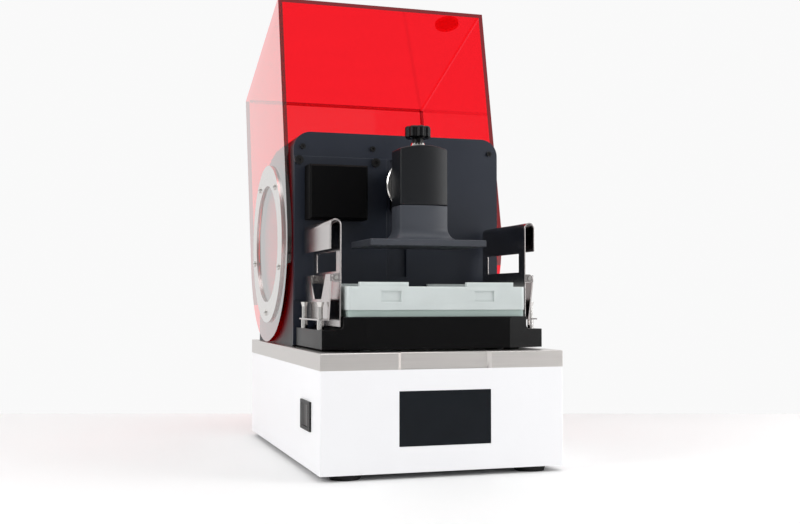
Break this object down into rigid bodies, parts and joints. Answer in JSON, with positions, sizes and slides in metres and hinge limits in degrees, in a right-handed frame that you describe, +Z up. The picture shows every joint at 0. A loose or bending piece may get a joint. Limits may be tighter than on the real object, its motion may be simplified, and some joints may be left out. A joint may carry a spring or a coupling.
{
  "type": "resin printer",
  "caption": "Desktop resin printer with a white base, front touch screen, lift-out resin tray, build platform on a vertical arm and a red tinted hood that swings back on large side rings.",
  "frame": {"origin": "middle of the whole machine with its hood open, on the surface that the feet stand on", "axes": "+X to the right, +Y to the back, +Z up"},
  "size_m": [0.2686, 0.4612, 0.5397],
  "materials": {
    "white_shell": "satin white powder coat",
    "steel_plate": "plain machined steel",
    "foot_rubber": "matt black rubber",
    "deck_aluminium": "brushed anodised aluminium",
    "screen_glass": "glossy dark cover glass of a touch screen",
    "black_plastic": "matt black moulding",
    "switch_bezel": "grey moulded bezel",
    "switch_rocker": "black rocker",
    "engine_metal": "plain aluminium",
    "lens_black": "black anodised",
    "board_green": "printed circuit board",
    "standoff_brass": "plain brass",
    "housing_black": "satin black powder coat",
    "panel_black": "satin slate black powder coat",
    "heater_black": "satin black powder coat",
    "screw_black": "black oxide",
    "arm_charcoal": "charcoal hard anodised",
    "polished_steel": "polished stainless steel",
    "knob_black": "black moulded knob",
    "platform_grey": "grey hard anodised",
    "tray_frosted": "frosted pale translucent moulding",
    "tray_band": "pale green translucent clamp frame",
    "tray_film": "clear release film",
    "bed_black": "satin black anodised",
    "window_glass": "clear glass",
    "latch_steel": "brushed stainless sheet",
    "hood_acrylic": "clear red tinted acrylic",
    "ring_steel": "brushed stainless ring",
    "hub_black": "black anodised",
    "bush_bronze": "plain bearing bronze"
  },
  "bodies": {
    "base": {"base_shell": "white_shell", "base_floor": "steel_plate", "rubber_feet": "foot_rubber", "deck_plate": "deck_aluminium", "screen_glass": "screen_glass", "screen_module": "black_plastic", "switch_bezel": "switch_bezel", "power_inlet": "black_plastic", "network_port": "steel_plate", "fan_frame": "black_plastic", "light_engine": "engine_metal", "projection_lens": "lens_black", "heat_sink": "engine_metal", "power_supply": "engine_metal", "main_board": "board_green", "board_standoffs": "standoff_brass", "rear_housing": "housing_black", "front_panel": "panel_black", "heater_plate": "panel_black", "heater_box": "heater_black", "front_screws": "screw_black", "drive_column": "engine_metal", "drive_rail": "steel_plate", "drive_motor": "lens_black", "motor_bracket": "engine_metal", "screw_bearing": "engine_metal", "tray_base": "bed_black", "window_glass": "window_glass", "tray_base_pads": "foot_rubber", "latch_bracket_left": "latch_steel", "latch_bracket_right": "latch_steel", "latch_pins": "polished_steel", "latch_posts": "polished_steel", "hinge_bushes": "bush_bronze"},
    "hood": {"hood_left": "hood_acrylic", "hood_right": "hood_acrylic", "hood_roof": "hood_acrylic", "hood_front": "hood_acrylic", "hood_pull_disc": "hood_acrylic", "hinge_ring_left": "ring_steel", "hinge_ring_right": "ring_steel", "hinge_hubs": "hub_black", "ring_screws": "polished_steel"},
    "z_arm": {"drive_carriage": "steel_plate", "drive_nut": "standoff_brass", "arm_bar": "arm_charcoal", "arm_flange": "polished_steel", "arm_body": "arm_charcoal", "knob_collar": "polished_steel"},
    "knob": {"clamp_knob": "knob_black"},
    "platform": {"build_platform": "platform_grey"},
    "screw": {"lead_screw": "steel_plate"},
    "tray": {"tray_body": "tray_frosted", "tray_frame": "tray_band", "tray_film": "tray_film"},
    "latch_left": {"latch_handle_left": "latch_steel"},
    "latch_right": {"latch_handle_right": "latch_steel"},
    "power_switch": {"switch_rocker": "switch_rocker"},
    "fan": {"fan_rotor": "black_plastic"}
  },
  "joints": [
    {"name": "hood_hinge", "type": "hinge", "parent": "base", "child": "hood", "pos_m": [0, 0.05036, 0.2465], "axis": [-1, 0, 0], "range_deg": [-102.5, 0]},
    {"name": "z_slide", "type": "slide", "parent": "base", "child": "z_arm", "axis": [0, 0, 1], "range_m": [-0.07, 0]},
    {"name": "knob_turn", "type": "hinge", "parent": "z_arm", "child": "knob", "pos_m": [0, -0.14064, 0.35], "axis": [0, 0, 1], "range_deg": [0, 720]},
    {"name": "platform_release", "type": "slide", "parent": "z_arm", "child": "platform", "axis": [0, 0, -1], "range_m": [0, 0.03]},
    {"name": "screw_turn", "type": "hinge", "parent": "base", "child": "screw", "pos_m": [0.04, -0.00464, 0.25], "axis": [0, 0, 1], "range_deg": [-3160, 10]},
    {"name": "tray_slide", "type": "slide", "parent": "base", "child": "tray", "axis": [0, -1, 0], "range_m": [0, 0.12]},
    {"name": "latch_left_squeeze", "type": "hinge", "parent": "base", "child": "latch_left", "pos_m": [-0.1065, -0.14064, 0.201], "axis": [0, 1, 0], "range_deg": [0, 6], "stiffness_Nm_per_rad": 0.5, "springref_deg": -11.46},
    {"name": "latch_right_squeeze", "type": "hinge", "parent": "base", "child": "latch_right", "pos_m": [0.1065, -0.14064, 0.201], "axis": [0, -1, 0], "range_deg": [0, 6], "stiffness_Nm_per_rad": 0.5, "springref_deg": -11.46},
    {"name": "switch_rock", "type": "hinge", "parent": "base", "child": "power_switch", "pos_m": [-0.121, -0.16864, 0.06], "axis": [0, 0, 1], "range_deg": [-6, 6]},
    {"name": "fan_spin", "type": "hinge", "parent": "base", "child": "fan", "pos_m": [-0.06, 0.15436, 0.058], "axis": [0, 1, 0], "continuous": true}
  ],
  "couplings": [
    {"joint": "screw_turn", "follows": "z_slide", "rad_per_m": 785.4}
  ]
}
